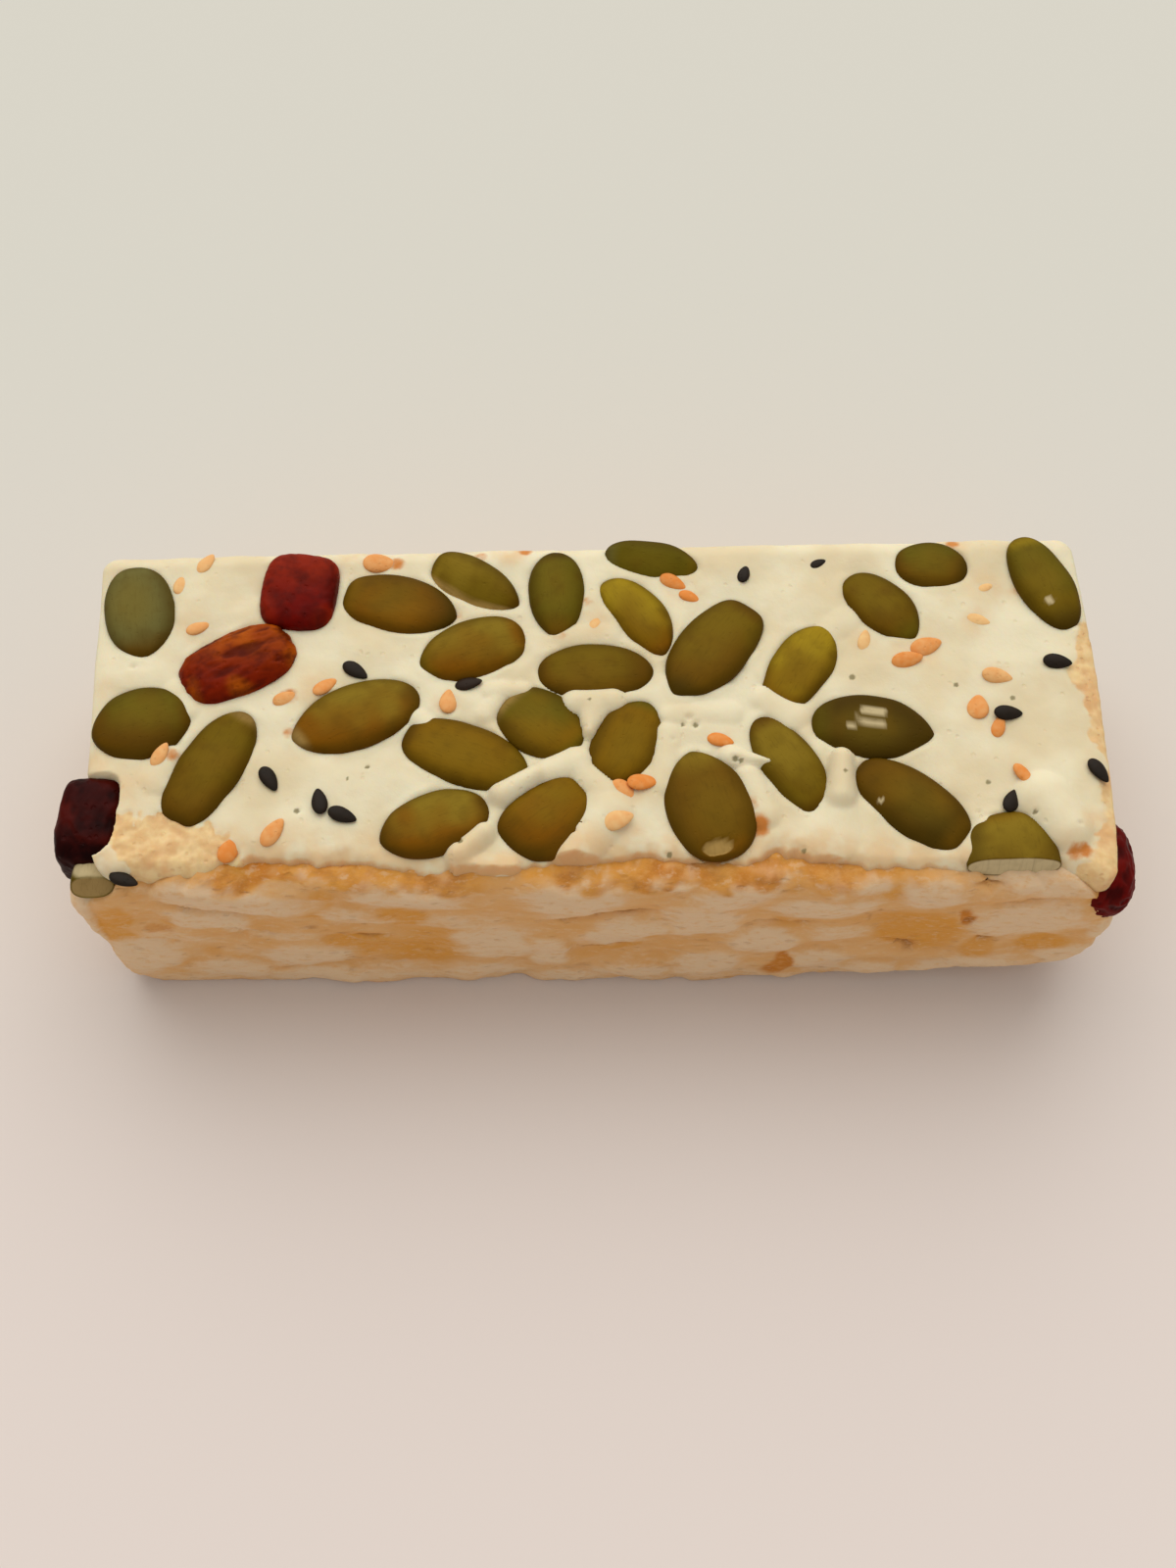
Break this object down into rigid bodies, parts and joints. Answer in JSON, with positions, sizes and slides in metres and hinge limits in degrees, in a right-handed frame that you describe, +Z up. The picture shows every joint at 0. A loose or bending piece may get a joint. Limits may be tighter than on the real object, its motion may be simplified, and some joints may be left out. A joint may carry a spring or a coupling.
{
  "type": "sachima bar",
  "caption": "Bar of pressed puffed dough strips under a soft marshmallow layer set with pumpkin seeds, raisins and sesame.",
  "frame": {"origin": "centre of the bounding box at the underside the bar rests on", "axes": "+X along the bar towards the end with the rounded lower corner, +Y across it towards the back, +Z up out of the marshmallow side"},
  "size_m": [0.1116, 0.0427, 0.0272],
  "materials": {
    "puffed_dough": "matt, porous puffed dough in pale lens-shaped cuts with tan syrup between them",
    "marshmallow": "soft satin cream marshmallow",
    "pumpkin_seed": "smooth olive-green to brown kernels, semi-gloss",
    "raisin": "wrinkled dark red to orange-brown raisins, glossy",
    "black_sesame": "black sesame, slight sheen",
    "white_sesame": "toasted white sesame, satin"
  },
  "bodies": {
    "root": {"puffed_dough": "puffed_dough", "marshmallow_top": "marshmallow", "pumpkin_seed_01": "pumpkin_seed", "pumpkin_seed_02": "pumpkin_seed", "pumpkin_seed_03": "pumpkin_seed", "pumpkin_seed_04": "pumpkin_seed", "pumpkin_seed_05": "pumpkin_seed", "pumpkin_seed_06": "pumpkin_seed", "pumpkin_seed_07": "pumpkin_seed", "pumpkin_seed_08": "pumpkin_seed", "pumpkin_seed_09": "pumpkin_seed", "pumpkin_seed_10": "pumpkin_seed", "pumpkin_seed_11": "pumpkin_seed", "pumpkin_seed_12": "pumpkin_seed", "pumpkin_seed_13": "pumpkin_seed", "pumpkin_seed_14": "pumpkin_seed", "pumpkin_seed_15": "pumpkin_seed", "pumpkin_seed_16": "pumpkin_seed", "pumpkin_seed_17": "pumpkin_seed", "pumpkin_seed_18": "pumpkin_seed", "pumpkin_seed_19": "pumpkin_seed", "pumpkin_seed_20": "pumpkin_seed", "pumpkin_seed_21": "pumpkin_seed", "pumpkin_seed_22": "pumpkin_seed", "pumpkin_seed_23": "pumpkin_seed", "pumpkin_seed_24": "pumpkin_seed", "pumpkin_seed_25": "pumpkin_seed", "pumpkin_seed_26": "pumpkin_seed", "pumpkin_seed_27": "pumpkin_seed", "raisin_01": "raisin", "raisin_02": "raisin", "raisin_03": "raisin", "raisin_04": "raisin"}
  },
  "joints": []
}
